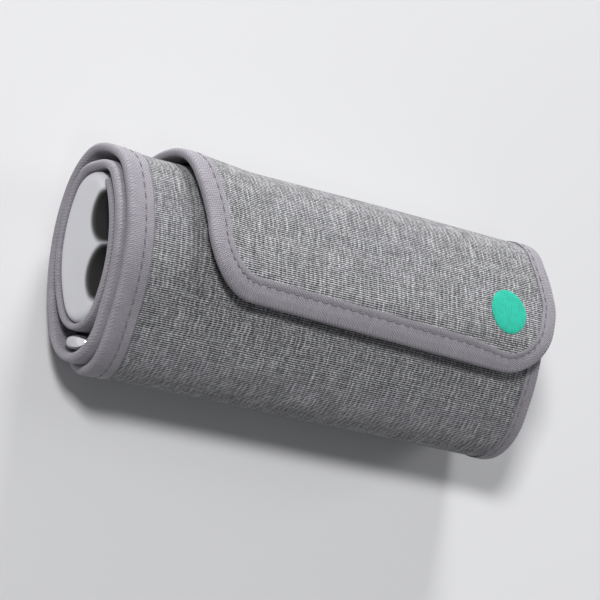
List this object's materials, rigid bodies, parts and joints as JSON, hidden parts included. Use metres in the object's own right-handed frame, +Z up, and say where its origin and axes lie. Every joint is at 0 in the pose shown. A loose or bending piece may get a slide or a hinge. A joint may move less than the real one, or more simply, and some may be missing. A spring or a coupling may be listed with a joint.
{
  "type": "upper-arm blood pressure monitor",
  "caption": "Upper-arm blood pressure monitor rolled up in its fabric cuff, with a slim control pod inside, a peel-open closing flap and a chrome cuff ring.",
  "frame": {"origin": "under the middle of the roll, on the surface that it rests on", "axes": "+X along the roll, towards the end with the start button; +Z up through the closing flap; +Y towards the side where the flap leaves the roll"},
  "size_m": [0.1537, 0.0668, 0.0437],
  "materials": {
    "face_fabric": "grey melange woven cloth",
    "lining_fabric": "smooth knitted lining",
    "binding_tape": "ribbed grosgrain tape with a running stitch",
    "webbing": "thin woven webbing",
    "hook_and_loop": "hook and loop pile",
    "bladder_film": "coated air-tight film",
    "curl_plastic": "thin springy sheet",
    "marker_print": "raised print, satin",
    "ring_chrome": "polished chrome",
    "pod_white": "smooth satin white",
    "button_white": "smooth satin",
    "light_guide": "milky light guide",
    "chassis_plastic": "moulded",
    "screw_steel": "plated",
    "motor_steel": "drawn steel can",
    "contact_metal": "nickel plated",
    "cell_jacket": "plain jacket",
    "board_green": "solder mask",
    "chip_black": "moulded epoxy",
    "seal_rubber": "silicone"
  },
  "bodies": {
    "rolled_cuff": {"pod_sleeve": "face_fabric", "sleeve_binding": "binding_tape", "inner_turn_lining": "lining_fabric", "inner_turn_face": "face_fabric", "air_bladder": "bladder_film", "inner_turn_binding": "binding_tape", "outer_turn_lining": "lining_fabric", "outer_turn_face": "face_fabric", "curl_sheet": "curl_plastic", "outer_turn_binding": "binding_tape", "closing_turn_face": "face_fabric", "closing_turn_lining": "lining_fabric", "closing_turn_binding": "binding_tape", "loop_pad": "hook_and_loop", "ring_loop": "webbing", "left_end_cap": "pod_white", "pod_rear_shell": "pod_white", "pod_front_shell": "pod_white", "shell_screws": "screw_steel", "chassis": "chassis_plastic", "aaa_cells": "cell_jacket", "cell_contacts": "contact_metal", "main_board": "board_green", "processor_chips": "chip_black", "wireless_module": "contact_metal", "pressure_sensor": "chip_black", "tact_switch": "chip_black", "status_light_ring": "light_guide", "pump_motor": "motor_steel", "pump_head": "chassis_plastic", "pump_mount": "seal_rubber", "air_manifold": "chassis_plastic", "release_valve": "motor_steel", "sensor_hose": "seal_rubber"},
    "closing_flap": {"flap_face": "face_fabric", "flap_lining": "lining_fabric", "flap_binding": "binding_tape", "hook_pad": "hook_and_loop", "marker_dot": "marker_print"},
    "ring": {"cuff_ring": "ring_chrome"},
    "button": {"start_button": "button_white"},
    "cap": {"battery_cap": "pod_white", "cap_seal": "seal_rubber", "contact_bridge": "contact_metal"},
    "crank": {"pump_crank": "motor_steel"},
    "plunger": {"valve_plunger": "contact_metal"}
  },
  "joints": [
    {"name": "flap_hinge", "type": "hinge", "parent": "rolled_cuff", "child": "closing_flap", "pos_m": [0, 0.03316, 0.02673], "axis": [-1, 0, 0], "range_deg": [0, 100]},
    {"name": "ring_swivel", "type": "hinge", "parent": "rolled_cuff", "child": "ring", "pos_m": [0, -0.02439, 0.01458], "axis": [1, 0, 0], "range_deg": [-1.5, 1.5]},
    {"name": "button_press", "type": "slide", "parent": "rolled_cuff", "child": "button", "axis": [-1, 0, 0], "range_m": [0, 0.0008], "stiffness_N_per_m": 800},
    {"name": "cap_slide", "type": "slide", "parent": "rolled_cuff", "child": "cap", "axis": [1, 0, 0], "range_m": [0, 0.02]},
    {"name": "crank_turn", "type": "hinge", "parent": "rolled_cuff", "child": "crank", "pos_m": [-0.0415, 0.00189, 0.02], "axis": [0, 1, 0], "continuous": true},
    {"name": "plunger_stroke", "type": "slide", "parent": "rolled_cuff", "child": "plunger", "axis": [-1, 0, 0], "range_m": [0, 0.0006], "stiffness_N_per_m": 300}
  ]
}
